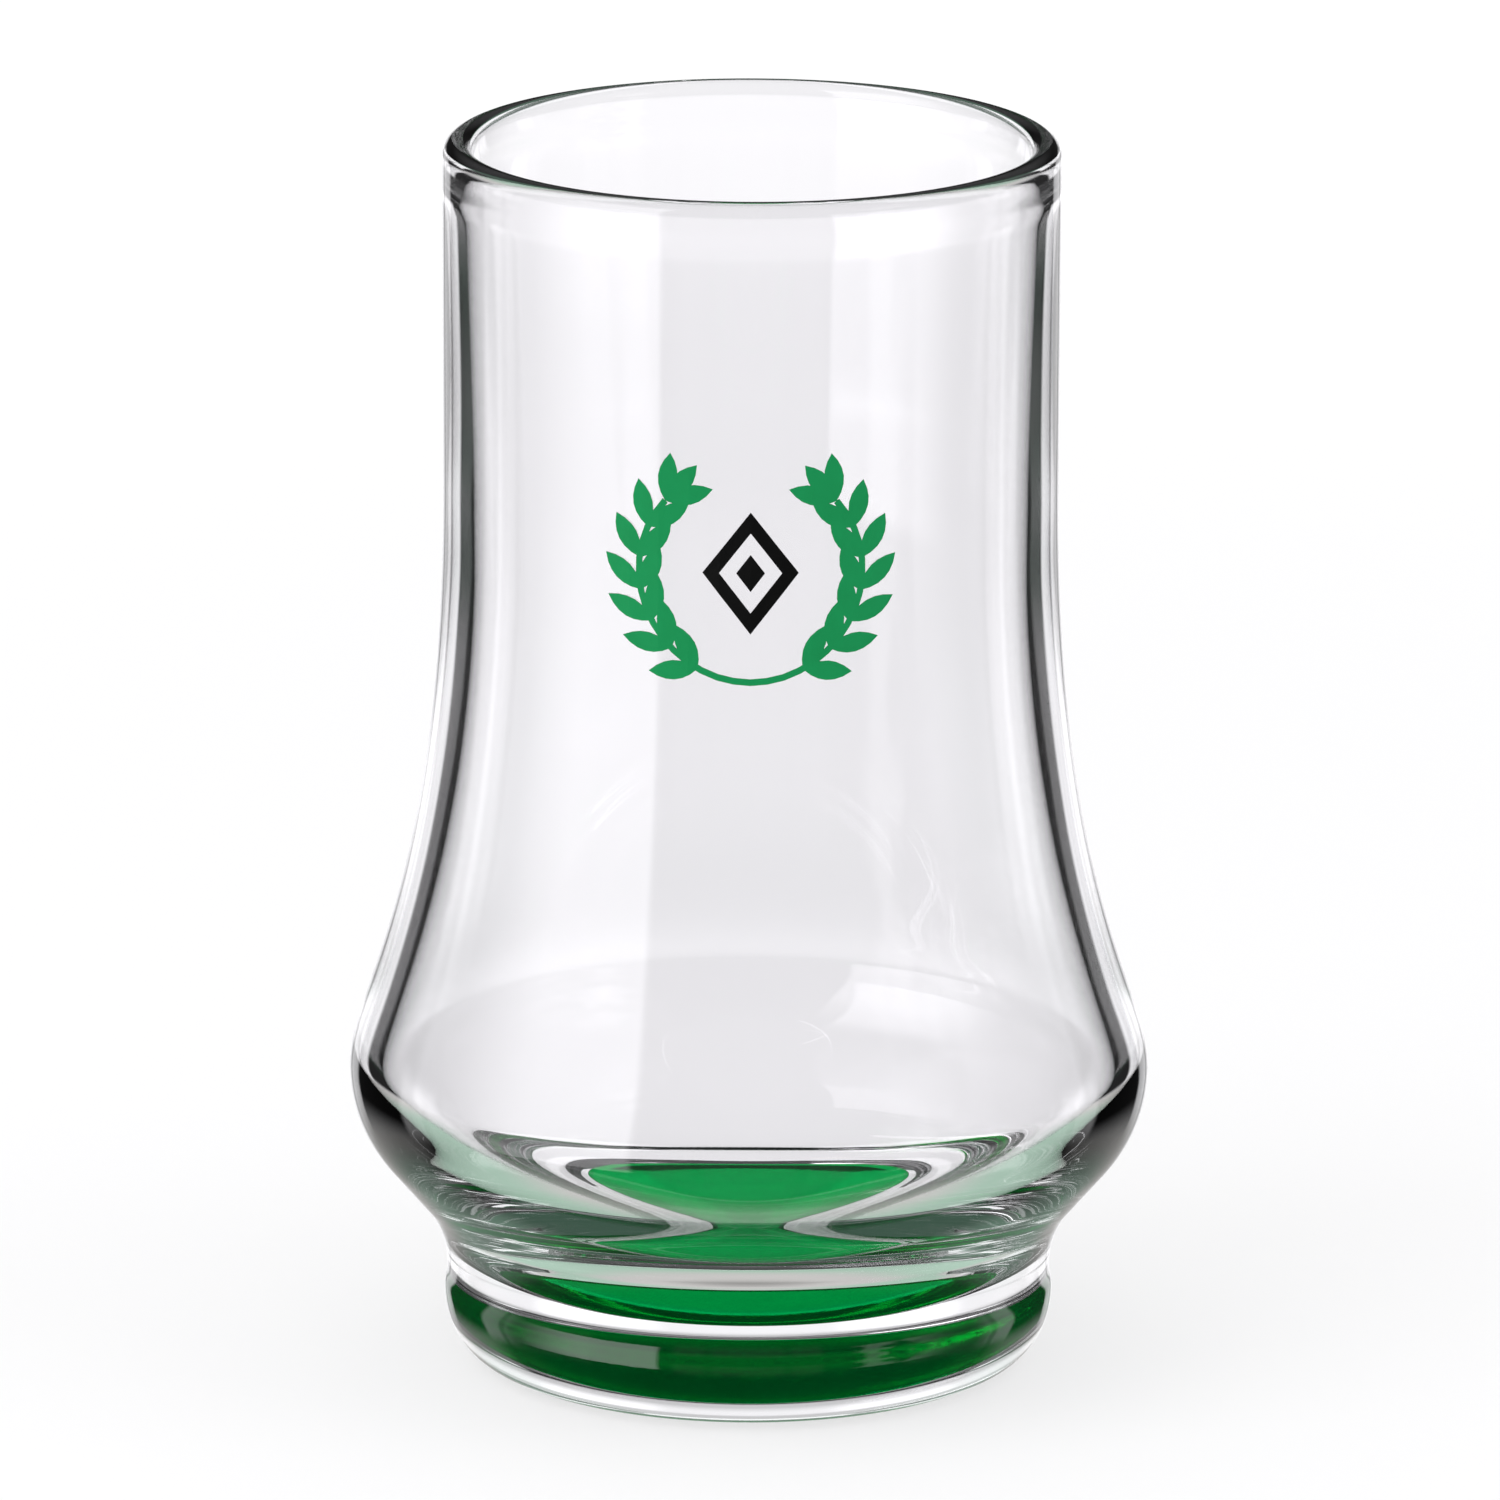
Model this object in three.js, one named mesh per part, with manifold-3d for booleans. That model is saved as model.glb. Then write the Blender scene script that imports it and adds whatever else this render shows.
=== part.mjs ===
// A whisky tasting glass: one piece of clear glass, a translucent green coat under its foot and a
// printed ornament on the front of its neck. Millimetres, +Z up, the glass stands on z = 0 and its
// axis is the Z axis. The print faces -Y.

import * as THREE from 'three';
import { mergeVertices } from 'three/addons/utils/BufferGeometryUtils.js';
import Module from 'manifold-3d';

const wasm = await Module();
wasm.setup();

// Overall size and the outside of the glass
const HEIGHT = 98.4;
const NECK_RADIUS = 24.2;
const NECK_START = 71; // height where the belly's flare has died out
const BELLY_RADIUS = 31.75;
const BELLY_HEIGHT = 23.3;
const BELLY_ROUND = 10.6; // radius of the turn from the belly into the shoulder
const FLARE_TOP_PULL = 33.6; // how far the neck's direction is kept below NECK_START
const FLARE_BELLY_PULL = 5.9; // how far the belly's direction is kept above BELLY_HEIGHT
const FOOT_RADIUS = 24.25;
const FOOT_HEIGHT = 10.3; // height where the lines of foot wall and shoulder cross
const FOOT_FILLET = 9.4; // hollow blend between foot wall and shoulder
const FOOT_WAIST = 0.23; // how much the foot wall narrows up to that blend
const HEEL_REACH = 3.7; // the rounded lower edge of the foot, inwards
const HEEL_RISE = 5; // and upwards

// The lip and the inside of the glass
const LIP_RADIUS = 1.15; // fire-polished bead
const LIP_DEPTH = 5; // from the rim down to the plain wall
const RIM_WALL = 1.75;
const NECK_WALL = 2.3; // where the bore is narrowest
const NARROWEST_HEIGHT = 65;
const BORE_PULL = 25; // how far the bore keeps its direction below that height
const BELLY_WALL = 2.8;
const INNER_BELLY_HEIGHT = 23.9;
const INNER_BELLY_PULL = 3.2; // how far the belly's inside keeps its direction upwards
const BOWL_PULL = 5.9; // and downwards
const FLOOR_HEIGHT = 7;
const FLOOR_RADIUS = 6.7; // flat part of the floor inside
const FLOOR_PULL = 7.35; // how far the floor's direction is kept beyond it

// The underside
const PUNT_RADIUS = 18.3; // edge of the domed hollow under the foot
const PUNT_STEP = 1; // from the bearing ring up to that edge, at 45 degrees
const PUNT_RISE = 0.22; // from that edge up to the dome's middle
const COAT_THICKNESS = 0.2;
const COAT_MARGIN = 1.4; // bare glass between the coat and the dome's edge
const FILM_GAP = 0.05; // clearance between the glass and a coat or an ink

// The printed ornament
const PRINT_HEIGHT = 69.5; // its middle
const INK_THICKNESS = 0.12;
const WREATH_RADIUS = 8.6;
const WREATH_OPENING = 50; // half of the gap at the top, degrees
const STEM_WIDTH = 0.5;
const LEAF_LENGTH = 3.8;
const LEAF_WIDTH = 1.5;
const LEAF_SPREAD = 34; // between a leaf and the stem, degrees
const LEAF_STEP = 17; // along the stem from one pair of leaves to the next, degrees
const LOZENGE_WIDTH = 7.4;
const LOZENGE_HEIGHT = 9.6;
const LOZENGE_LINE = 1;
const PIP_WIDTH = 2.2;
const PIP_HEIGHT = 2.9;

// Facets
const ROUND_STEPS = 64;
const DOME_STEPS = 5;
const HEEL_STEPS = 6;
const WALL_STEPS = 3;
const FILLET_STEPS = 4;
const BELLY_STEPS = 7;
const FLARE_STEPS = 11;
const LIP_STEPS = 6;
const LEAF_STEPS = 6;
const STEM_STEPS = 30;

const RIGHT_ANGLE = Math.PI / 2;
const point = (x, y) => new THREE.Vector2(x, y);
const radians = THREE.MathUtils.degToRad;

function arc(cx, cy, rx, ry, from, to, steps) {
  return new THREE.EllipseCurve(cx, cy, rx, ry, from, to, to < from).getPoints(steps);
}

function bezier(start, startPull, endPull, end, steps) {
  return new THREE.CubicBezierCurve(start, startPull, endPull, end).getPoints(steps);
}

// Puts stretches of a profile end to end and drops each joint's second point.
function chain(...stretches) {
  const joined = [];
  for (const p of stretches.flat()) {
    if (joined.length === 0 || joined.at(-1).distanceTo(p) > 1e-6) joined.push(p);
  }
  return joined;
}

// Turns a profile of (radius, height) points round the Z axis.
function revolve(profile) {
  return new THREE.LatheGeometry(profile, ROUND_STEPS).rotateX(RIGHT_ANGLE);
}

// The punt is a shallow dome above a sloping step inside the bearing ring.
const domeRadius = (PUNT_RADIUS ** 2 + PUNT_RISE ** 2) / (2 * PUNT_RISE);
const domeCentre = PUNT_STEP + PUNT_RISE - domeRadius;

function dome(offset, edgeRadius) {
  const radius = domeRadius - offset;
  return arc(0, domeCentre, radius, radius, RIGHT_ANGLE, Math.acos(edgeRadius / radius), DOME_STEPS);
}

// Foot wall, hollow blend, shoulder line and the turn into the belly. The shoulder's line is the
// tangent from the foot's corner to the circle of the turn.
function footToBelly() {
  const waist = FOOT_RADIUS - FOOT_WAIST;
  const corner = point(waist, FOOT_HEIGHT);
  const turn = point(BELLY_RADIUS - BELLY_ROUND, BELLY_HEIGHT);
  const toTurn = turn.clone().sub(corner);
  const slope = toTurn.angle() - Math.asin(BELLY_ROUND / toTurn.length());
  const bend = RIGHT_ANGLE - slope;
  const blendStart = FOOT_HEIGHT - FOOT_FILLET * Math.tan(bend / 2);
  const halfway = (HEEL_RISE + blendStart) / 2;
  const wall = bezier(
    point(FOOT_RADIUS, HEEL_RISE), point(FOOT_RADIUS, halfway),
    point(waist, halfway), point(waist, blendStart), WALL_STEPS,
  );
  const blend = arc(
    waist + FOOT_FILLET, blendStart, FOOT_FILLET, FOOT_FILLET, Math.PI, Math.PI - bend, FILLET_STEPS,
  );
  return chain(wall, blend, arc(turn.x, turn.y, BELLY_ROUND, BELLY_ROUND, -bend, 0, BELLY_STEPS));
}

const outerFlare = bezier(
  point(BELLY_RADIUS, BELLY_HEIGHT),
  point(BELLY_RADIUS, BELLY_HEIGHT + FLARE_BELLY_PULL),
  point(NECK_RADIUS, NECK_START - FLARE_TOP_PULL),
  point(NECK_RADIUS, NECK_START),
  FLARE_STEPS,
);
const lipHeight = HEIGHT - LIP_RADIUS;
const neckTop = point(NECK_RADIUS, lipHeight);

function glassProfile() {
  const puntStep = point(PUNT_RADIUS + PUNT_STEP, 0);
  const heelRadius = FOOT_RADIUS - HEEL_REACH;
  const heel = arc(heelRadius, HEEL_RISE, HEEL_REACH, HEEL_RISE, -RIGHT_ANGLE, 0, HEEL_STEPS);
  const lip = arc(NECK_RADIUS - LIP_RADIUS, lipHeight, LIP_RADIUS, LIP_RADIUS, 0, Math.PI, LIP_STEPS);

  return chain(dome(0, PUNT_RADIUS), puntStep, heel, footToBelly(), outerFlare, lip, inside());
}

// From the lip down: the lip's bead dies out, the bore narrows a little, opens into the belly and runs
// down to the flat of the floor as a bowl.
function inside() {
  const mouth = NECK_RADIUS - RIM_WALL;
  const bore = NECK_RADIUS - NECK_WALL;
  const belly = BELLY_RADIUS - BELLY_WALL;
  const lipBore = NECK_RADIUS - 2 * LIP_RADIUS;
  const lipEnd = HEIGHT - LIP_DEPTH;
  const halfway = (lipHeight + lipEnd) / 2;
  const third = (lipEnd - NARROWEST_HEIGHT) / 3;
  const lipFoot = point(mouth, lipEnd);
  const narrowest = point(bore, NARROWEST_HEIGHT);
  const widest = point(belly, INNER_BELLY_HEIGHT);
  const floorEdge = point(FLOOR_RADIUS, FLOOR_HEIGHT);
  return chain(
    bezier(point(lipBore, lipHeight), point(lipBore, halfway), point(mouth, halfway), lipFoot, LIP_STEPS / 2),
    bezier(lipFoot, point(mouth, lipEnd - third), point(bore, NARROWEST_HEIGHT + third), narrowest, LIP_STEPS),
    bezier(
      narrowest, point(bore, NARROWEST_HEIGHT - BORE_PULL),
      point(belly, INNER_BELLY_HEIGHT + INNER_BELLY_PULL), widest, FLARE_STEPS,
    ),
    bezier(
      widest, point(belly, INNER_BELLY_HEIGHT - BOWL_PULL),
      point(FLOOR_RADIUS + FLOOR_PULL, FLOOR_HEIGHT), floorEdge, FLARE_STEPS,
    ),
    [point(0, FLOOR_HEIGHT)],
  );
}

// A thin film on the punt's dome, with its edge short of the dome's edge.
function coatProfile() {
  const edge = PUNT_RADIUS - COAT_MARGIN;
  const top = dome(FILM_GAP, edge);
  const bottom = dome(FILM_GAP + COAT_THICKNESS, edge);
  return chain(bottom, top.reverse());
}

function solid(geometry) {
  const bare = geometry.index ? geometry.toNonIndexed() : geometry.clone();
  bare.deleteAttribute('normal');
  bare.deleteAttribute('uv');
  const merged = mergeVertices(bare, 1e-4);
  return new wasm.Manifold(new wasm.Mesh({
    numProp: 3,
    vertProperties: new Float32Array(merged.attributes.position.array),
    triVerts: new Uint32Array(merged.index.array),
  }));
}

function geometryOf(body) {
  const mesh = body.getMesh();
  const geometry = new THREE.BufferGeometry();
  geometry.setAttribute('position', new THREE.BufferAttribute(mesh.vertProperties, 3));
  geometry.setIndex(new THREE.BufferAttribute(mesh.triVerts, 1));
  geometry.computeVertexNormals();
  return geometry;
}

// A sleeve of ink thickness all round the outside of flare and neck, which the prints are cut from.
function inkSleeve() {
  const wall = chain(outerFlare, [neckTop]);
  const inside = wall.map((p) => point(p.x + FILM_GAP, p.y));
  const outside = wall.map((p) => point(p.x + FILM_GAP + INK_THICKNESS, p.y));
  return solid(revolve([...outside, ...inside.reverse(), outside[0].clone()]));
}

// Lays a flat drawing (x to the right, y up, from the print's middle) on the front of the sleeve.
function print(shapes) {
  const depth = BELLY_RADIUS;
  const prisms = shapes.map((shape) => {
    const prism = new THREE.ExtrudeGeometry(shape, { depth, bevelEnabled: false, curveSegments: LEAF_STEPS });
    return solid(prism.rotateX(RIGHT_ANGLE).translate(0, 0, PRINT_HEIGHT));
  });
  return geometryOf(wasm.Manifold.union(prisms).intersect(inkSleeve()));
}

// A pointed leaf from its stalk at (0, 0) along +Y, turned and moved to its place.
function leaf(place, direction) {
  const across = new THREE.Vector2(Math.sin(direction), -Math.cos(direction)).multiplyScalar(LEAF_WIDTH);
  const along = new THREE.Vector2(Math.cos(direction), Math.sin(direction)).multiplyScalar(LEAF_LENGTH);
  const tip = place.clone().add(along);
  const middle = place.clone().addScaledVector(along, 0.5);
  const right = middle.clone().add(across);
  const left = middle.clone().sub(across);
  const shape = new THREE.Shape();
  shape.moveTo(place.x, place.y);
  shape.quadraticCurveTo(right.x, right.y, tip.x, tip.y);
  shape.quadraticCurveTo(left.x, left.y, place.x, place.y);
  return shape;
}

// Two leafy twigs that start at the bottom of one round stem and leave a gap at the top.
function wreath() {
  const reach = radians(180 - WREATH_OPENING);
  const stem = new THREE.Shape();
  const start = -RIGHT_ANGLE - reach;
  const end = -RIGHT_ANGLE + reach;
  const outer = arc(0, 0, WREATH_RADIUS + STEM_WIDTH / 2, WREATH_RADIUS + STEM_WIDTH / 2, start, end, STEM_STEPS);
  const inner = arc(0, 0, WREATH_RADIUS - STEM_WIDTH / 2, WREATH_RADIUS - STEM_WIDTH / 2, end, start, STEM_STEPS);
  stem.setFromPoints([...outer, ...inner]);

  const shapes = [stem];
  const pairs = Math.floor((180 - WREATH_OPENING) / LEAF_STEP);
  for (const side of [-1, 1]) {
    for (let i = 1; i <= pairs; i += 1) {
      const angle = -RIGHT_ANGLE + side * (reach - radians((pairs - i) * LEAF_STEP));
      const place = point(Math.cos(angle), Math.sin(angle)).multiplyScalar(WREATH_RADIUS);
      const ahead = angle + side * RIGHT_ANGLE;
      const spreads = i === pairs ? [-LEAF_SPREAD, 0, LEAF_SPREAD] : [-LEAF_SPREAD, LEAF_SPREAD];
      for (const spread of spreads) shapes.push(leaf(place, ahead + radians(spread)));
    }
  }
  return shapes;
}

function lozenge(width, height) {
  return [point(width / 2, 0), point(0, height / 2), point(-width / 2, 0), point(0, -height / 2)];
}

function lozengeRing() {
  const shape = new THREE.Shape(lozenge(LOZENGE_WIDTH, LOZENGE_HEIGHT));
  const side = Math.hypot(LOZENGE_WIDTH, LOZENGE_HEIGHT);
  const inset = 2 * LOZENGE_LINE * side;
  const hole = lozenge(LOZENGE_WIDTH - inset / LOZENGE_HEIGHT, LOZENGE_HEIGHT - inset / LOZENGE_WIDTH);
  shape.holes.push(new THREE.Path(hole));
  return shape;
}

function piece(name, geometry, look) {
  const mesh = new THREE.Mesh(geometry, new THREE.MeshStandardMaterial(look));
  mesh.name = name;
  return mesh;
}

const glassLook = { color: 0xf2f4f3, roughness: 0.02, metalness: 0, transparent: true, opacity: 0.35 };
const coatLook = { color: 0x0a9a4c, roughness: 0.2, metalness: 0, transparent: true, opacity: 0.8 };
const greenInk = { color: 0x0f9350, roughness: 0.45, metalness: 0 };
const blackInk = { color: 0x141414, roughness: 0.45, metalness: 0 };

const tastingGlass = new THREE.Group();
tastingGlass.add(
  piece('glass_body', revolve(glassProfile()), glassLook),
  piece('base_colour_coat', revolve(coatProfile()), coatLook),
  piece('print_wreath', print(wreath()), greenInk),
  piece('print_lozenge', print([lozengeRing()]), blackInk),
  piece('print_pip', print([new THREE.Shape(lozenge(PIP_WIDTH, PIP_HEIGHT))]), blackInk),
);

export default tastingGlass;
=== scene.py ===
# %% [markdown]
# # A whisky tasting glass
# A small footed glass in one piece of clear soda-lime glass, with a green lacquer under its foot and a
# two-colour print on its neck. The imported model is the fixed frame, and this lesson dresses it.

# %% Load the frame
import math

import bmesh
import bpy
from mathutils import Matrix, Vector
from mathutils.geometry import interpolate_bezier


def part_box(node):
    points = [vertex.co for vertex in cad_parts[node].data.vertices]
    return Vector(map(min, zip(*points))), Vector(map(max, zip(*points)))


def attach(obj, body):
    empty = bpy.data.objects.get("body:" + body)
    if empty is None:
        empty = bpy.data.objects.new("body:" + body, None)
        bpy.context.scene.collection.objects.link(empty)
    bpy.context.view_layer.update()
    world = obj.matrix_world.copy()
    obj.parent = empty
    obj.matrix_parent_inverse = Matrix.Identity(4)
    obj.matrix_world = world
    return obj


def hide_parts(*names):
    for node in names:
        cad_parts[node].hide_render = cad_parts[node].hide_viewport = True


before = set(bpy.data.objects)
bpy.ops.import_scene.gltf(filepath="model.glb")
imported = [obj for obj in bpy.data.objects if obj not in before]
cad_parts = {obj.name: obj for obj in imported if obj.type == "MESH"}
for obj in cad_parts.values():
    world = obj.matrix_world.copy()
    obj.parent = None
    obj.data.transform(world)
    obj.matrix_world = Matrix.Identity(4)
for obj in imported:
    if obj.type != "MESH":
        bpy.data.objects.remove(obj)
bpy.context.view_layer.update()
scene = bpy.context.scene
scene.view_settings.view_transform = "Standard"
scene.cycles.glossy_bounces = 12
scene.cycles.transparent_max_bounces = 24

MM = 0.001

# %% [markdown]
# ## Shader maths as expressions
# A finish is easier to read as a formula than as a web of boxes. `Value` wraps a socket, so that `1 - mask`
# adds the Math node it needs, and `add_node` makes every kind of node.

# %% A small kit for node trees
def feed(tree, entry, value):
    """Links a Value to an input socket, or sets the socket to a plain number, colour or vector."""
    if isinstance(value, Value):
        tree.links.new(value.socket, entry)
    else:
        entry.default_value = value


def add_node(tree, kind, settings=None, sockets=None, output=0):
    """Adds a node with its settings first, then the values or links of its sockets, and gives one output."""
    node = tree.nodes.new(kind)
    for name, setting in (settings or {}).items():
        setattr(node, name, setting)
    for name, value in (sockets or {}).items():
        feed(tree, node.inputs[name], value)
    return Value(tree, node.outputs[output])


class Value:
    """An output socket that takes part in Python expressions."""

    def __init__(self, tree, socket):
        self.tree = tree
        self.socket = socket

    def of(self, operation, *values):
        return add_node(self.tree, "ShaderNodeMath", {"operation": operation}, dict(enumerate(values)))

    def math(self, operation, *others):
        return self.of(operation, self, *others)

    def __add__(self, other):
        return self.of("ADD", self, other)

    def __radd__(self, other):
        return self.of("ADD", other, self)

    def __sub__(self, other):
        return self.of("SUBTRACT", self, other)

    def __rsub__(self, other):
        return self.of("SUBTRACT", other, self)

    def __mul__(self, other):
        return self.of("MULTIPLY", self, other)

    def __rmul__(self, other):
        return self.of("MULTIPLY", other, self)

    def __abs__(self):
        return self.of("ABSOLUTE", self)

    def ramp(self, low, high):
        """0 below low, 1 above high and a smooth rise between, or the other way round if high is lower."""
        sockets = {
            "Value": self,
            "From Min": min(low, high),
            "From Max": max(low, high),
            "To Min": float(low > high),
            "To Max": float(low < high),
        }
        return add_node(self.tree, "ShaderNodeMapRange", {"interpolation_type": "SMOOTHSTEP"}, sockets)


class Finish:
    """The node tree of one material or of the world."""

    def __init__(self, owner):
        owner.use_nodes = True
        self.owner = owner
        self.tree = owner.node_tree
        self.tree.nodes.clear()
        ending = "World" if isinstance(owner, bpy.types.World) else "Material"
        self.output = self.tree.nodes.new("ShaderNodeOutput" + ending)

    def add(self, kind, settings=None, sockets=None, output=0):
        return add_node(self.tree, kind, settings, sockets, output)

    def mixed(self, share, first, second):
        """Mixes two shaders: the first alone where share is 0, the second alone where it is 1."""
        return self.add("ShaderNodeMixShader", sockets={0: share, 1: first, 2: second})

    def ends_in(self, surface, volume=None):
        feed(self.tree, self.output.inputs["Surface"], surface)
        if volume is not None:
            feed(self.tree, self.output.inputs["Volume"], volume)
        return self.owner


def new_finish(name):
    return Finish(bpy.data.materials.new(name))


def colour(red, green, blue):
    return (red, green, blue, 1.0)


print("node kit ready")

# %% [markdown]
# ## The camera
# The picture was taken with a long lens from a little above the rim. A long lens keeps the glass's sides
# upright, and the height decides how far the ovals of rim and foot open.

# %% Place the camera
CAMERA_DISTANCE = 974.8
CAMERA_HEIGHT = 306.6
CAMERA_LENS = 306.0
CAMERA_SENSOR = 36.0
CAMERA_REACH = 20.0
CAMERA_DIP = 14.8
CAMERA_ROLL = 0.2

camera_data = bpy.data.cameras.new("camera")
camera_data.lens = CAMERA_LENS
camera_data.sensor_width = CAMERA_SENSOR
camera_data.clip_end = CAMERA_REACH
camera = bpy.data.objects.new("camera", camera_data)
dip = Matrix.Rotation(math.radians(90 - CAMERA_DIP), 4, "X")
roll = Matrix.Rotation(math.radians(CAMERA_ROLL), 4, "Z")
camera.matrix_world = Matrix.Translation((0, -CAMERA_DISTANCE * MM, CAMERA_HEIGHT * MM)) @ dip @ roll
scene.collection.objects.link(camera)
scene.camera = camera
print("camera at", [round(v, 4) for v in camera.matrix_world.translation], "lens", camera_data.lens)

# %% [markdown]
# ## Drawing a profile
# Everything here is turned on one axis, so each piece starts as half of its outline, drawn with a pen in
# the XZ plane. The pen knows three strokes: a straight line, an arc, which is a vertex spun about a centre,
# and a Bezier curve for the long flare. A full spin about Z then makes the solid.

# %% The pen
class Pen:
    """Draws an outline of vertices and edges. Radius and height are in millimetres."""

    def __init__(self, mesh, radius, height):
        self.mesh = mesh
        self.tip = mesh.verts.new(spot(radius, height))

    def line(self, radius, height):
        self.tip = bmesh.ops.extrude_vert_indiv(self.mesh, verts=[self.tip])["verts"][0]
        self.tip.co = spot(radius, height)

    def arc(self, centre, degrees, steps, stretch=1.0):
        """Turns about a centre, towards +Z where degrees is positive. stretch makes it an oval, along X."""
        before = set(self.mesh.verts)
        middle = spot(*centre)
        angle = math.radians(degrees)
        turned = bmesh.ops.spin(
            self.mesh, geom=[self.tip], cent=middle, axis=(0, -1, 0), angle=angle, steps=steps
        )
        self.tip = turned["geom_last"][0]
        fresh = [v for v in self.mesh.verts if v not in before]
        bmesh.ops.scale(self.mesh, vec=(stretch, 1, 1), space=Matrix.Translation(-middle), verts=fresh)

    def curve(self, pull, end_pull, end, steps):
        start = self.tip.co.copy()
        for place in interpolate_bezier(start, spot(*pull), spot(*end_pull), spot(*end), steps + 1)[1:]:
            self.line(place.x / MM, place.z / MM)


def spot(radius, height):
    return Vector((radius * MM, 0, height * MM))


ROUND_STEPS = 256
WELD = 1e-7


def turn_on_axis(mesh):
    """Spins the drawn outline once about Z and closes seam and poles."""
    outline = mesh.verts[:] + mesh.edges[:]
    bmesh.ops.spin(
        mesh, geom=outline, cent=(0, 0, 0), axis=(0, 0, 1),
        angle=math.tau, steps=ROUND_STEPS, use_merge=True,
    )
    bmesh.ops.remove_doubles(mesh, verts=mesh.verts, dist=WELD)
    bmesh.ops.recalc_face_normals(mesh, faces=mesh.faces)


def finished_piece(name, mesh, node, materials):
    """Makes the object, gives it smooth faces and its finishes, and puts it in its CAD node's place."""
    data = bpy.data.meshes.new(name)
    for face in mesh.faces:
        face.smooth = True
    mesh.to_mesh(data)
    mesh.free()
    for material in materials:
        data.materials.append(material)
    piece = bpy.data.objects.new(name, data)
    scene.collection.objects.link(piece)
    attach(piece, "root")
    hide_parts(node)
    print(name, "has", len(data.polygons), "faces")


print("a full turn takes", ROUND_STEPS, "steps")

# %% [markdown]
# ## Clear glass
# Soda-lime glass bends light by 1.52 and darkens it a little on long paths. Pressed and blown glass is
# never quite even: very low, wide waves run through its surface and make reflections swim a little. Lamps
# would cast a solid shadow through a refracting body, so the light of lamps passes with a small loss.

# %% The glass finishes
GLASS_BEND = 1.52
GLASS_TINT = colour(0.99, 0.985, 0.993)
DEPTH_TINT = colour(0.76, 0.77, 0.765)
SHADOW_TINT = colour(0.9, 0.9, 0.9)


def lets_lamps_through(finish, shader, tint):
    path = finish.add("ShaderNodeLightPath", output="Is Shadow Ray")
    clear = finish.add("ShaderNodeBsdfTransparent", sockets={"Color": tint})
    return finish.mixed(path, shader, clear)


def clear_glass():
    finish = new_finish("clear_glass")
    place = finish.add("ShaderNodeTexCoord", output="Object")
    waves = finish.add("ShaderNodeTexNoise", sockets={"Vector": place, "Scale": 55.0, "Detail": 1.0})
    swim = finish.add("ShaderNodeBump", sockets={"Height": waves, "Strength": 0.05, "Distance": 0.0004})
    body = finish.add("ShaderNodeBsdfPrincipled", sockets={
        "Base Color": GLASS_TINT,
        "Roughness": 0.0,
        "IOR": GLASS_BEND,
        "Transmission Weight": 1.0,
        "Normal": swim,
    })
    depth = finish.add("ShaderNodeVolumeAbsorption", sockets={"Color": DEPTH_TINT, "Density": 5.0})
    return finish.ends_in(lets_lamps_through(finish, body, SHADOW_TINT), depth)


def bonded_face():
    finish = new_finish("bonded_face")
    return finish.ends_in(finish.add("ShaderNodeBsdfTransparent", sockets={"Color": colour(1, 1, 1)}))


print("glass bends light by", GLASS_BEND)

# %% [markdown]
# ## The glass
# One outline runs from the middle of the underside out over the bearing ring, up the outside, over the
# fire-polished lip and down the inside to the middle of the floor. It is drawn in four stretches, a cell
# for each. Height and width are read from the frame, and the other sizes are the ones it was made with.

# %% The overall size
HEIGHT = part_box("glass_body")[1][2] / MM
BELLY_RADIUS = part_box("glass_body")[1][0] / MM
print("glass", round(HEIGHT, 2), "mm high,", round(2 * BELLY_RADIUS, 2), "mm wide")

# %% [markdown]
# ### The underside
# Under the foot is a shallow hollow, a very flat dome inside a sloping step. The glass stands on the ring
# round it, and a quarter of an oval, the rounded heel, leads from the ring up to the foot's wall.

# %% Draw the underside
PUNT_RADIUS = 18.3
PUNT_STEP = 1.0
PUNT_RISE = 0.22
COAT_MARGIN = 1.4
FOOT_RADIUS = 24.25
HEEL_REACH = 3.7
HEEL_RISE = 5.0
DOME_STEPS = 14
MARGIN_STEPS = 2
HEEL_STEPS = 20

dome_radius = (PUNT_RADIUS**2 + PUNT_RISE**2) / (2 * PUNT_RISE)
dome_centre = PUNT_STEP + PUNT_RISE - dome_radius
coat_radius = PUNT_RADIUS - COAT_MARGIN


def dome_sweep(radius, ball=dome_radius):
    """How far an arc about the dome's centre leans from the axis at a radius, in degrees."""
    return math.degrees(math.asin(radius / ball))


def draw_underside(pen):
    pen.arc((0, dome_centre), -dome_sweep(coat_radius), DOME_STEPS)
    pen.arc((0, dome_centre), dome_sweep(coat_radius) - dome_sweep(PUNT_RADIUS), MARGIN_STEPS)
    pen.line(PUNT_RADIUS + PUNT_STEP, 0)
    heel = FOOT_RADIUS - HEEL_REACH
    pen.line(heel, 0)
    pen.arc((heel, HEEL_RISE), 90, HEEL_STEPS, HEEL_REACH / HEEL_RISE)


print("the hollow's dome has a radius of", round(dome_radius), "mm")

# %% [markdown]
# ### Foot, shoulder and belly
# The foot's wall narrows a little as it rises. A wide hollow blend leads it into the shoulder, which is the
# tangent from the foot's corner to the belly's turn, so that nothing creases on the way.

# %% Draw the shoulder
BELLY_HEIGHT = 23.3
BELLY_ROUND = 10.6
FOOT_HEIGHT = 10.3
FOOT_FILLET = 9.4
FOOT_WAIST = 0.23
FOOT_STEPS = 12
BLEND_STEPS = 16
TURN_STEPS = 24


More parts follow.
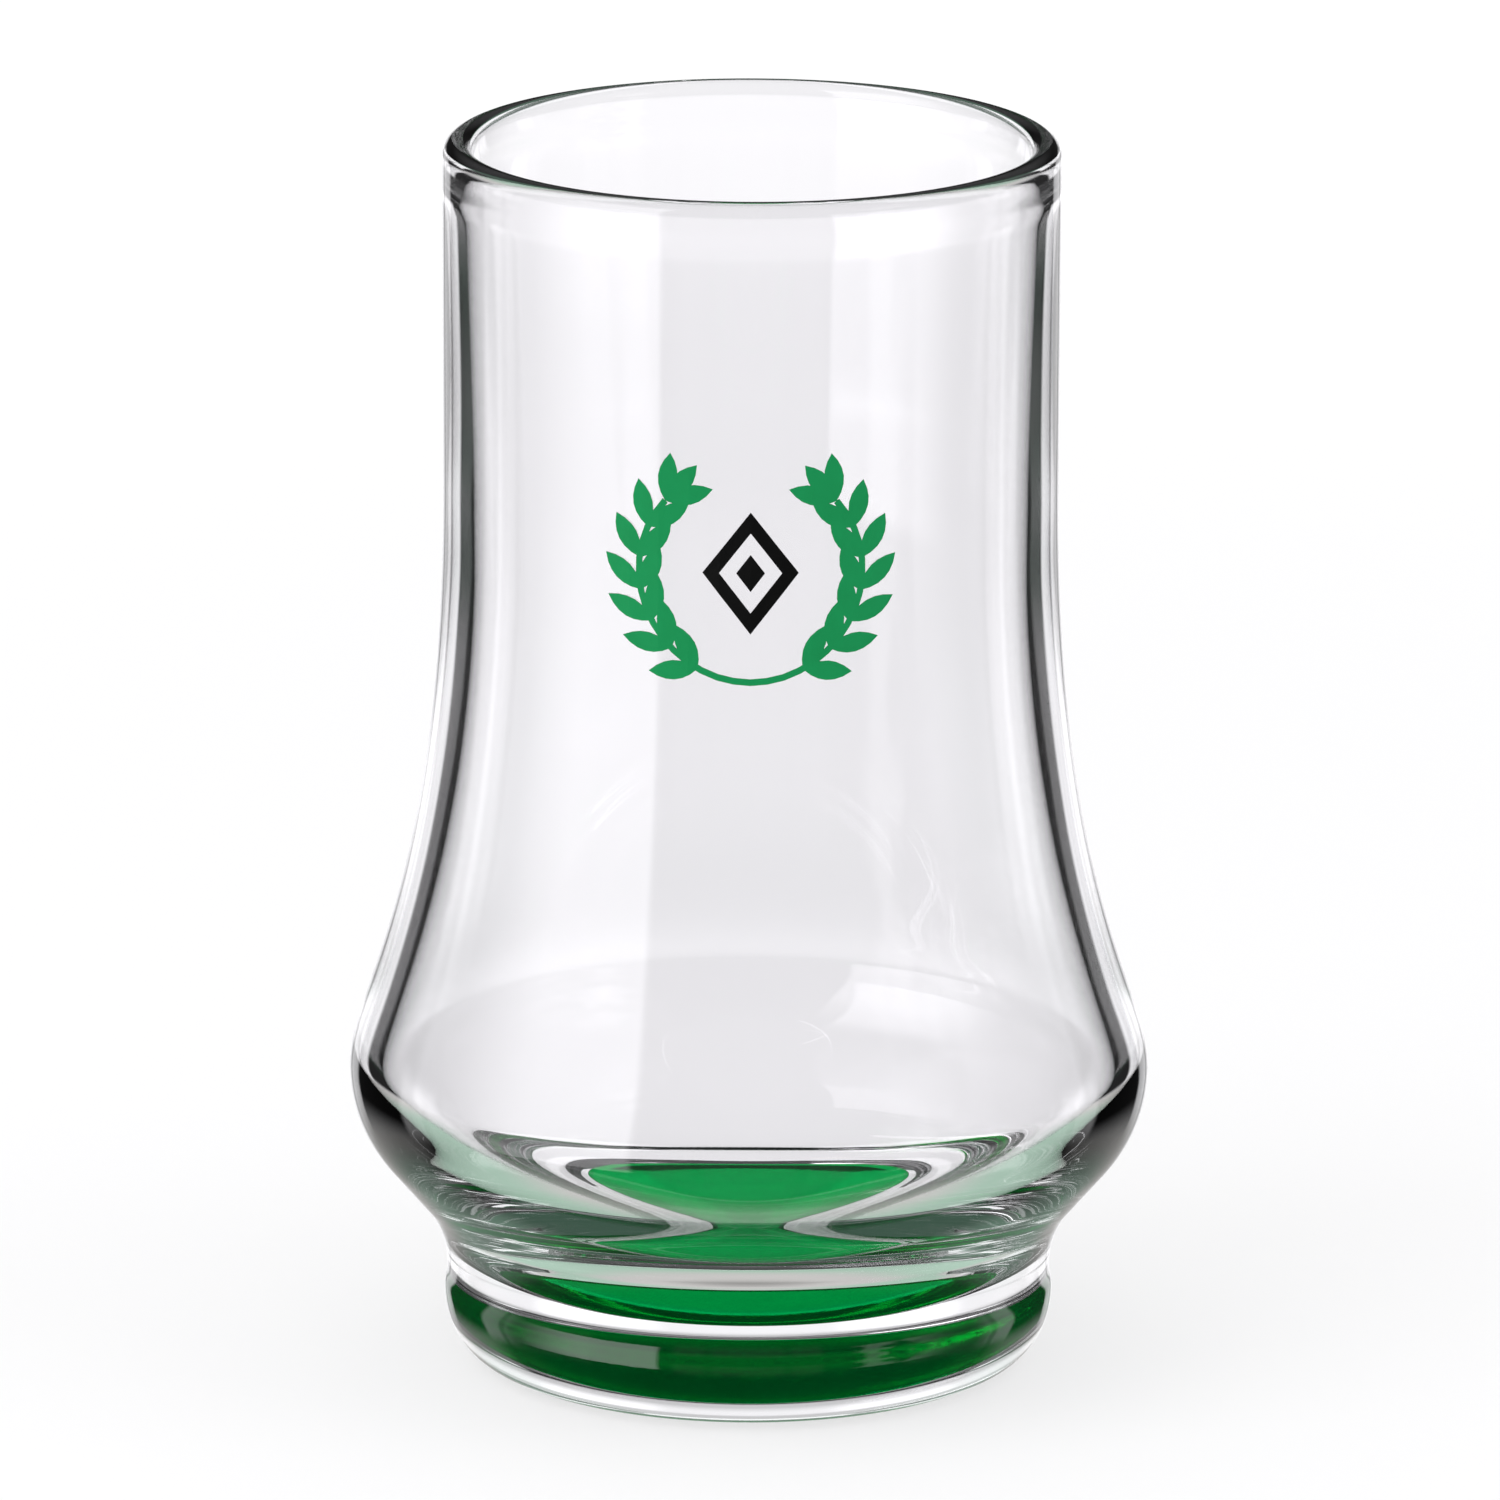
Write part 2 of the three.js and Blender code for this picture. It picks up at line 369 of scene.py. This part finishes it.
def draw_shoulder(pen):
    turn = Vector((BELLY_RADIUS - BELLY_ROUND, BELLY_HEIGHT))
    waist = FOOT_RADIUS - FOOT_WAIST
    rise = turn - Vector((waist, FOOT_HEIGHT))
    slope = math.atan2(rise.y, rise.x) - math.asin(BELLY_ROUND / rise.length)
    bend = math.pi / 2 - slope
    blend_start = FOOT_HEIGHT - FOOT_FILLET * math.tan(bend / 2)
    halfway = (HEEL_RISE + blend_start) / 2
    pen.curve((FOOT_RADIUS, halfway), (waist, halfway), (waist, blend_start), FOOT_STEPS)
    pen.arc((waist + FOOT_FILLET, blend_start), -math.degrees(bend), BLEND_STEPS)
    pen.line(turn.x + BELLY_ROUND * math.cos(bend), turn.y - BELLY_ROUND * math.sin(bend))
    pen.arc(turn, math.degrees(bend), TURN_STEPS)
    print("shoulder slopes by", round(math.degrees(slope), 1), "degrees")


# %% [markdown]
# ### Flare, neck and lip
# One long Bezier curve carries the belly into the straight neck. The rim was melted smooth in a flame, so
# the lip is half a circle, a bead that is a little thicker than the wall just below it.

# %% Draw the outside
NECK_RADIUS = 24.2
NECK_START = 71.0
FLARE_TOP_PULL = 33.6
FLARE_BELLY_PULL = 5.9
LIP_RADIUS = 1.15
FLARE_STEPS = 56
LIP_STEPS = 32


def draw_outside(pen):
    pull = (BELLY_RADIUS, BELLY_HEIGHT + FLARE_BELLY_PULL)
    end_pull = (NECK_RADIUS, NECK_START - FLARE_TOP_PULL)
    pen.curve(pull, end_pull, (NECK_RADIUS, NECK_START), FLARE_STEPS)
    pen.line(NECK_RADIUS, HEIGHT - LIP_RADIUS)
    pen.arc((NECK_RADIUS - LIP_RADIUS, HEIGHT - LIP_RADIUS), 180, LIP_STEPS)


print("neck", 2 * NECK_RADIUS, "mm wide")

# %% [markdown]
# ### The inside
# The inside of such a glass doesn't follow its outside. The wall is thinnest below the lip and thicker down
# the neck, and the bowl rounds off to a small flat floor, so that the foot under it is a solid lens.

# %% Draw the inside
LIP_DEPTH = 5.0
RIM_WALL = 1.75
NECK_WALL = 2.3
NARROWEST_HEIGHT = 65.0
BORE_PULL = 25.0
BELLY_WALL = 2.8
INNER_BELLY_HEIGHT = 23.9
INNER_BELLY_PULL = 3.2
BOWL_PULL = 5.9
FLOOR_HEIGHT = 7.0
FLOOR_RADIUS = 6.7
FLOOR_PULL = 7.35
MOUTH_STEPS = 16
NECK_STEPS = 24
BOWL_STEPS = 48


def draw_inside(pen):
    mouth = NECK_RADIUS - RIM_WALL
    lip = NECK_RADIUS - 2 * LIP_RADIUS
    halfway = HEIGHT - (LIP_RADIUS + LIP_DEPTH) / 2
    pen.curve((lip, halfway), (mouth, halfway), (mouth, HEIGHT - LIP_DEPTH), MOUTH_STEPS)
    bore = NECK_RADIUS - NECK_WALL
    third = (HEIGHT - LIP_DEPTH - NARROWEST_HEIGHT) / 3
    pull = (mouth, HEIGHT - LIP_DEPTH - third)
    pen.curve(pull, (bore, NARROWEST_HEIGHT + third), (bore, NARROWEST_HEIGHT), NECK_STEPS)
    belly = BELLY_RADIUS - BELLY_WALL
    pull = (bore, NARROWEST_HEIGHT - BORE_PULL)
    end_pull = (belly, INNER_BELLY_HEIGHT + INNER_BELLY_PULL)
    pen.curve(pull, end_pull, (belly, INNER_BELLY_HEIGHT), FLARE_STEPS)
    pull = (belly, INNER_BELLY_HEIGHT - BOWL_PULL)
    pen.curve(pull, (FLOOR_RADIUS + FLOOR_PULL, FLOOR_HEIGHT), (FLOOR_RADIUS, FLOOR_HEIGHT), BOWL_STEPS)
    pen.line(0, FLOOR_HEIGHT)


print("floor", FLOOR_HEIGHT, "mm above the table")

# %% Turn the glass
glass_mesh = bmesh.new()
pen = Pen(glass_mesh, 0, PUNT_STEP + PUNT_RISE)
for stretch in (draw_underside, draw_shoulder, draw_outside, draw_inside):
    stretch(pen)
turn_on_axis(glass_mesh)
print("the outline turned into", len(glass_mesh.faces), "faces")

# %% Mark the faces that the lacquer is bonded to
BONDED = 1
SLACK = 1.01
dome_top = (PUNT_STEP + PUNT_RISE) * MM
for face in glass_mesh.faces:
    middle = face.calc_center_median()
    under_coat = math.hypot(middle.x, middle.y) < coat_radius * MM
    if under_coat and middle.z < dome_top * SLACK:
        face.material_index = BONDED
finished_piece("tasting_glass", glass_mesh, "glass_body", [clear_glass(), bonded_face()])

# %% [markdown]
# ## The green lacquer
# A clear green lacquer is sprayed into the hollow under the foot. It sticks to the glass, so light meets no
# air between them: it goes straight from glass into lacquer, loses its red and most of its blue, and bends
# or mirrors only at the lacquer's free face below. Its dye alone would be black where no light comes from
# behind, so a share of pigment scatters the light of the room, more where the spray fell thicker.

# %% The lacquer's finishes
LACQUER = colour(0.0005, 0.62, 0.15)
PIGMENT = colour(0.0, 0.13, 0.028)
PIGMENT_SHARE = 0.2
SPRAY_SHARE = 0.16
FREE_FACE = colour(0.7, 0.95, 0.75)
LACQUER_SHADOW = colour(0.5, 0.9, 0.6)


def lacquer_film():
    finish = new_finish("green_lacquer")
    place = finish.add("ShaderNodeTexCoord", output="Object")
    spray = finish.add("ShaderNodeTexNoise", sockets={"Vector": place, "Scale": 260.0, "Detail": 3.0})
    dye = finish.add("ShaderNodeBsdfTransparent", sockets={"Color": LACQUER})
    pigment = finish.add("ShaderNodeBsdfDiffuse", sockets={"Color": PIGMENT})
    return finish.ends_in(finish.mixed(PIGMENT_SHARE + SPRAY_SHARE * spray, dye, pigment))


def lacquer_underside():
    finish = new_finish("green_lacquer_underside")
    place = finish.add("ShaderNodeTexCoord", output="Object")
    peel = finish.add("ShaderNodeTexNoise", sockets={"Vector": place, "Scale": 900.0, "Detail": 2.0})
    skin = finish.add("ShaderNodeBump", sockets={"Height": peel, "Strength": 0.1, "Distance": 0.0002})
    film = finish.add("ShaderNodeBsdfPrincipled", sockets={
        "Base Color": FREE_FACE,
        "Roughness": 0.05,
        "IOR": GLASS_BEND,
        "Transmission Weight": 1.0,
        "Normal": skin,
    })
    return finish.ends_in(lets_lamps_through(finish, film, LACQUER_SHADOW))


print("the lacquer lets", LACQUER[1], "of green light through")

# %% Make the lacquer film
BOND_GAP = 0.01
COAT_THICKNESS = 0.2
FILM_FACE, FREE_UNDERSIDE = 0, 1
FACING_UP = 0.5
film_top = dome_radius - BOND_GAP
film_bottom = film_top - COAT_THICKNESS

coat_mesh = bmesh.new()
pen = Pen(coat_mesh, 0, dome_centre + film_bottom)
pen.arc((0, dome_centre), -dome_sweep(coat_radius, film_bottom), DOME_STEPS)
pen.line(coat_radius, dome_centre + math.sqrt(film_top**2 - coat_radius**2))
pen.arc((0, dome_centre), dome_sweep(coat_radius, film_top), DOME_STEPS)
turn_on_axis(coat_mesh)
for face in coat_mesh.faces:
    face.material_index = FILM_FACE if face.normal.z > FACING_UP else FREE_UNDERSIDE
finished_piece(
    "base_lacquer", coat_mesh, "base_colour_coat", [lacquer_film(), lacquer_underside()]
)

# %% [markdown]
# ## The print
# The two inks are screened on and fired, so they lie on the glass as thin satin patches. The frame's own
# patches already have the right shape. An ink is not quite even: the screen leaves a fine grain in its
# gloss and a trace of cloudiness in its colour.

# %% Ink finishes
def ink(name, deep, light):
    finish = new_finish(name)
    place = finish.add("ShaderNodeTexCoord", output="Object")
    cloud = finish.add("ShaderNodeTexNoise", sockets={"Vector": place, "Scale": 420.0, "Detail": 4.0})
    grain = finish.add("ShaderNodeTexNoise", sockets={"Vector": place, "Scale": 5200.0, "Detail": 1.0})
    paint = finish.add("ShaderNodeMix", {"data_type": "RGBA"}, {
        "Factor": cloud, "A": colour(*deep), "B": colour(*light)}, output="Result")
    pores = finish.add("ShaderNodeBump", sockets={"Height": grain, "Strength": 0.15, "Distance": 0.00003})
    body = finish.add("ShaderNodeBsdfPrincipled", sockets={
        "Base Color": paint,
        "Roughness": 0.4 + 0.14 * grain,
        "Specular IOR Level": 0.2,
        "Normal": pores,
    })
    return finish.ends_in(body)


green_ink = ink("green_ink", (0.001, 0.24, 0.065), (0.003, 0.29, 0.085))
black_ink = ink("black_ink", (0.002, 0.002, 0.002), (0.005, 0.005, 0.005))
for node, finish in (("print_wreath", green_ink), ("print_lozenge", black_ink), ("print_pip", black_ink)):
    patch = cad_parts[node].data
    patch.materials.clear()
    patch.materials.append(finish)
print("inks:", green_ink.name, black_ink.name)

# %% [markdown]
# ## The studio
# Clear glass shows only what is around it, so its surroundings are a part of its look. It stands on a pale
# floor in a white tent. The glass is kept from seeing the floor itself. What it mirrors and bends comes from
# the tent, where each thing can be placed by its direction.

# %% The floor
FLOOR_HALF = 3.0
FLOOR_DROP = 0.0002
PAPER = colour(0.82, 0.82, 0.82)
PAPER_GLOW = 0.45
WHITE_GLOW = 1.08
FADE_START, FADE_END = 0.1, 0.7
floor_mesh = bmesh.new()
bmesh.ops.create_grid(floor_mesh, x_segments=1, y_segments=1, size=FLOOR_HALF)
bmesh.ops.translate(floor_mesh, verts=floor_mesh.verts, vec=(0, 0, -FLOOR_DROP))
floor_data = bpy.data.meshes.new("floor")
floor_mesh.to_mesh(floor_data)
floor_mesh.free()

floor_finish = new_finish("pale_floor")
spread = floor_finish.add("ShaderNodeTexCoord", output="Object")
distance = floor_finish.add("ShaderNodeVectorMath", {"operation": "LENGTH"}, {0: spread}, output="Value")
seen = floor_finish.add("ShaderNodeLightPath", output="Is Camera Ray")
paper = floor_finish.add("ShaderNodeBsdfDiffuse", sockets={"Color": PAPER})
white = floor_finish.add("ShaderNodeEmission", sockets={"Color": colour(1, 1, 1), "Strength": WHITE_GLOW})
glow = PAPER_GLOW + (1 - PAPER_GLOW) * distance.ramp(FADE_START, FADE_END)
floor_data.materials.append(floor_finish.ends_in(floor_finish.mixed(seen * glow, paper, white)))

floor = bpy.data.objects.new("floor", floor_data)
scene.collection.objects.link(floor)
floor.visible_glossy = False
floor.visible_transmission = False
print("floor", 2 * FLOOR_HALF, "m wide")

# %% [markdown]
# ### A tent that knows its rays
# A world is asked for light by direction: east, north, which is away from the camera, and up. A ray's own
# history tells how it got out of the glass. `mirrored` is 1 after any reflection and `once` after a single
# one. `inside` is 1 for a ray that went into glass, and `far_inside` for one that crossed more than a wall.

# %% Read direction and history
FAR_DEPTH = (2.4, 3.0)
ONE_TURN = (1.8, 1.2)

world = bpy.data.worlds.new("tent")
scene.world = world
tent = Finish(world)
aim = tent.add("ShaderNodeTexCoord", output="Generated")
east, north, up = (tent.add("ShaderNodeSeparateXYZ", sockets={0: aim}, output=axis) for axis in "XYZ")


def ray(name):
    return tent.add("ShaderNodeLightPath", output=name)


def blend(low, high, share):
    return share * high + (1 - share) * low


inside = ray("Transmission Depth").math("MINIMUM", 1.0)
far_inside = ray("Transmission Depth").ramp(*FAR_DEPTH)
mirrored = ray("Glossy Depth").math("MINIMUM", 1.0)
once = mirrored * ray("Glossy Depth").ramp(*ONE_TURN) * (1 - far_inside)
print("tent so far has", len(tent.tree.nodes), "nodes")

# %% [markdown]
# ### Panels, dark cards and sky
# Near its edges the wall of a glass mirrors light from far aside. White panels with a dark card in each
# corner between them draw the dark lines there that give the glass its outline. The side of the camera is
# dimmer, and above the panels the sky is nearly dark, so that the rim stands out too.

# %% Panels, cards and sky
PANEL_LIGHT = 1.2
PANEL_EDGE = (-0.5, -0.25)
SEAM_PLACE = 0.5
SEAM_LIGHT = 0.55
SEAM_EDGE = (0.05, 0.15)
FRONT_DIM = 0.9
FRONT_EDGE = (0.35, 0.05)
CARD_DARK = 0.02
SKY_LOW, SKY_HIGH = 0.03, 0.3
SKY_RISE = (0.2, 0.55)
HORIZON = (-0.04, 0.06)
FAR_DIM = 0.7

turn = north.math("ARCTAN2", east)
quarters = (4 * turn).math("COSINE")
seams = abs(quarters - SEAM_PLACE).ramp(*SEAM_EDGE)
panels = PANEL_LIGHT * quarters.ramp(*PANEL_EDGE) * blend(SEAM_LIGHT, 1.0, seams)
panels = panels * (1 - FRONT_DIM * north.ramp(*FRONT_EDGE)) + CARD_DARK
sky = blend(SKY_LOW, SKY_HIGH, up.ramp(*SKY_RISE))
mirror_view = blend(panels, sky, up.ramp(*HORIZON)) * (1 - FAR_DIM * far_inside)
print("panels of", PANEL_LIGHT, "with four dark cards")

# %% [markdown]
# ### Table and windows
# Below the panels a mirrored ray meets the table. It is lighter behind the glass than in front of it, and
# light that made many turns in the foot before it got out is dim. A tall window at the camera's left and a
# cloudy one at its right lie as soft patches on the bowl.

# %% Table and windows
TABLE_LIGHT = 0.66
TABLE_OUTSIDE = 0.1
TABLE_IN_FRONT = 0.1
TABLE_EDGE = (-0.28, -0.42)
BEHIND_EDGE = (0.2, 0.5)
MIDDLE_EDGE = (-0.15, 0.15)
MANY_TURNS = 0.2
LEFT_WINDOW, RIGHT_WINDOW = 2.8, 1.0
LEFT_BEARINGS, RIGHT_BEARINGS = (34, 92), (40, 80)
OPENING = (-1.5, 1.5)
CLOSING = (10, -30)
WINDOW_FOOT, WINDOW_TOP = (-0.305, -0.275), (0.85, 0.6)
CLOUD_EDGE = (0.42, 0.62)
WALL_DIM = 0.85


def window(side, edge, end):
    """A window of light beside the camera, from one bearing to another. side is -1 on the left."""
    bearing = (side * east).math("ARCTAN2", 0 - north)
    opens = bearing.ramp(*[math.radians(edge + soft) for soft in OPENING])
    closes = bearing.ramp(*[math.radians(end + soft) for soft in CLOSING])
    return opens * closes * up.ramp(*WINDOW_FOOT) * up.ramp(*WINDOW_TOP)


behind = north.ramp(*BEHIND_EDGE)
table = TABLE_LIGHT * blend(TABLE_OUTSIDE, 1.0, inside.math("MAXIMUM", behind))
table = table * blend(MANY_TURNS, 1.0, once) * blend(TABLE_IN_FRONT, 1.0, north.ramp(*MIDDLE_EDGE))
clouds = tent.add("ShaderNodeTexNoise", sockets={"Vector": aim, "Scale": 5.0, "Detail": 2.0})
cloudy = window(1, *RIGHT_BEARINGS) * clouds.ramp(*CLOUD_EDGE)
windows = LEFT_WINDOW * window(-1, *LEFT_BEARINGS) + RIGHT_WINDOW * cloudy
windows = windows * (1 - WALL_DIM * inside * (1 - far_inside))
mirror_view = blend(mirror_view, table, up.ramp(*TABLE_EDGE)) + windows
print("windows of", LEFT_WINDOW, "and", RIGHT_WINDOW)

# %% [markdown]
# ### The backdrop
# Straight through the glass one sees a white backdrop with soft upright bars. It is a little darker low
# down and above the horizon, which keeps the bowl from melting into the background.

# %% The backdrop
BACKDROP, BACKDROP_LOW, BACKDROP_HIGH = 1.1, 0.98, 0.7
LOW_EDGE, HIGH_EDGE = (-0.2, -0.3), (0.1, 0.3)
BAR_LIGHT = 0.25
BAR_EDGE = (0.2, -0.6)

bars = (8 * turn).math("COSINE").ramp(*BAR_EDGE)
straight_view = blend(BACKDROP, BACKDROP_LOW, up.ramp(*LOW_EDGE)) + BAR_LIGHT * bars
straight_view = blend(straight_view, BACKDROP_HIGH, up.ramp(*HIGH_EDGE))
print("backdrop of", BACKDROP, "with bars of", BAR_LIGHT)

# %% [markdown]
# ### Putting the tent together
# The camera itself sees plain white, sharp rays see the views above, and all other light in the room is
# even. Light from the table is tinted: green after many turns past the lacquer, and a little green behind
# the glass, where light that fell through the lacquer lies on the table.

# %% Level and tone
AMBIENT = 0.72
WHITE = colour(1.0, 1.0, 1.0)
LAVENDER = colour(0.985, 0.98, 1.0)
WARM = colour(1.0, 0.985, 0.955)
LEAF = colour(0.4, 0.8, 0.56)
MINT = colour(0.72, 1.0, 0.82)
SPILL_EDGE = (-0.42, -0.6)
TINT_EDGE = (-0.3, -0.44)


def mixed_colour(first, second, share):
    sockets = {"Factor": share, "A": first, "B": second}
    return tent.add("ShaderNodeMix", {"data_type": "RGBA"}, sockets, output="Result")


through_glass = blend(straight_view, mirror_view, mirrored)
by_eye = ray("Is Camera Ray")
sharp = by_eye.math("MAXIMUM", ray("Is Glossy Ray")).math("MAXIMUM", ray("Is Transmission Ray"))
level = blend(blend(AMBIENT, through_glass, sharp), 1.0, by_eye)
spill = mixed_colour(WARM, MINT, behind * up.ramp(*SPILL_EDGE))
low = mixed_colour(LEAF, spill, once)
tone = mixed_colour(LAVENDER, low, mirrored * up.ramp(*TINT_EDGE))
tone = mixed_colour(tone, WHITE, by_eye)
tent.ends_in(tent.add("ShaderNodeBackground", sockets={"Color": tone, "Strength": level}))
print("tent finished with", len(tent.tree.nodes), "nodes")

# %% [markdown]
# ### Two soft lamps
# They light the inks and the floor and give the soft shadow at the foot. The glass doesn't mirror them,
# because the windows are already in the tent.

# %% The lamps
def soft_lamp(name, place, size, power):
    data = bpy.data.lights.new(name, "AREA")
    data.shape = "RECTANGLE"
    data.size, data.size_y = size
    data.energy = power
    lamp = bpy.data.objects.new(name, data)
    lamp.location = place
    lamp.visible_glossy = False
    lamp.visible_transmission = False
    aim_at = Vector((0, 0, HEIGHT * MM / 2)) - Vector(place)
    lamp.rotation_euler = aim_at.to_track_quat("-Z", "Y").to_euler()
    scene.collection.objects.link(lamp)
    return lamp


lamps = [
    soft_lamp("key_softbox", (-0.7, -0.5, 1.1), (0.8, 0.8), 9.0),
    soft_lamp("fill_softbox", (0.9, -0.3, 0.9), (0.6, 0.9), 4.0),
]
print("lamps:", [lamp.name for lamp in lamps])
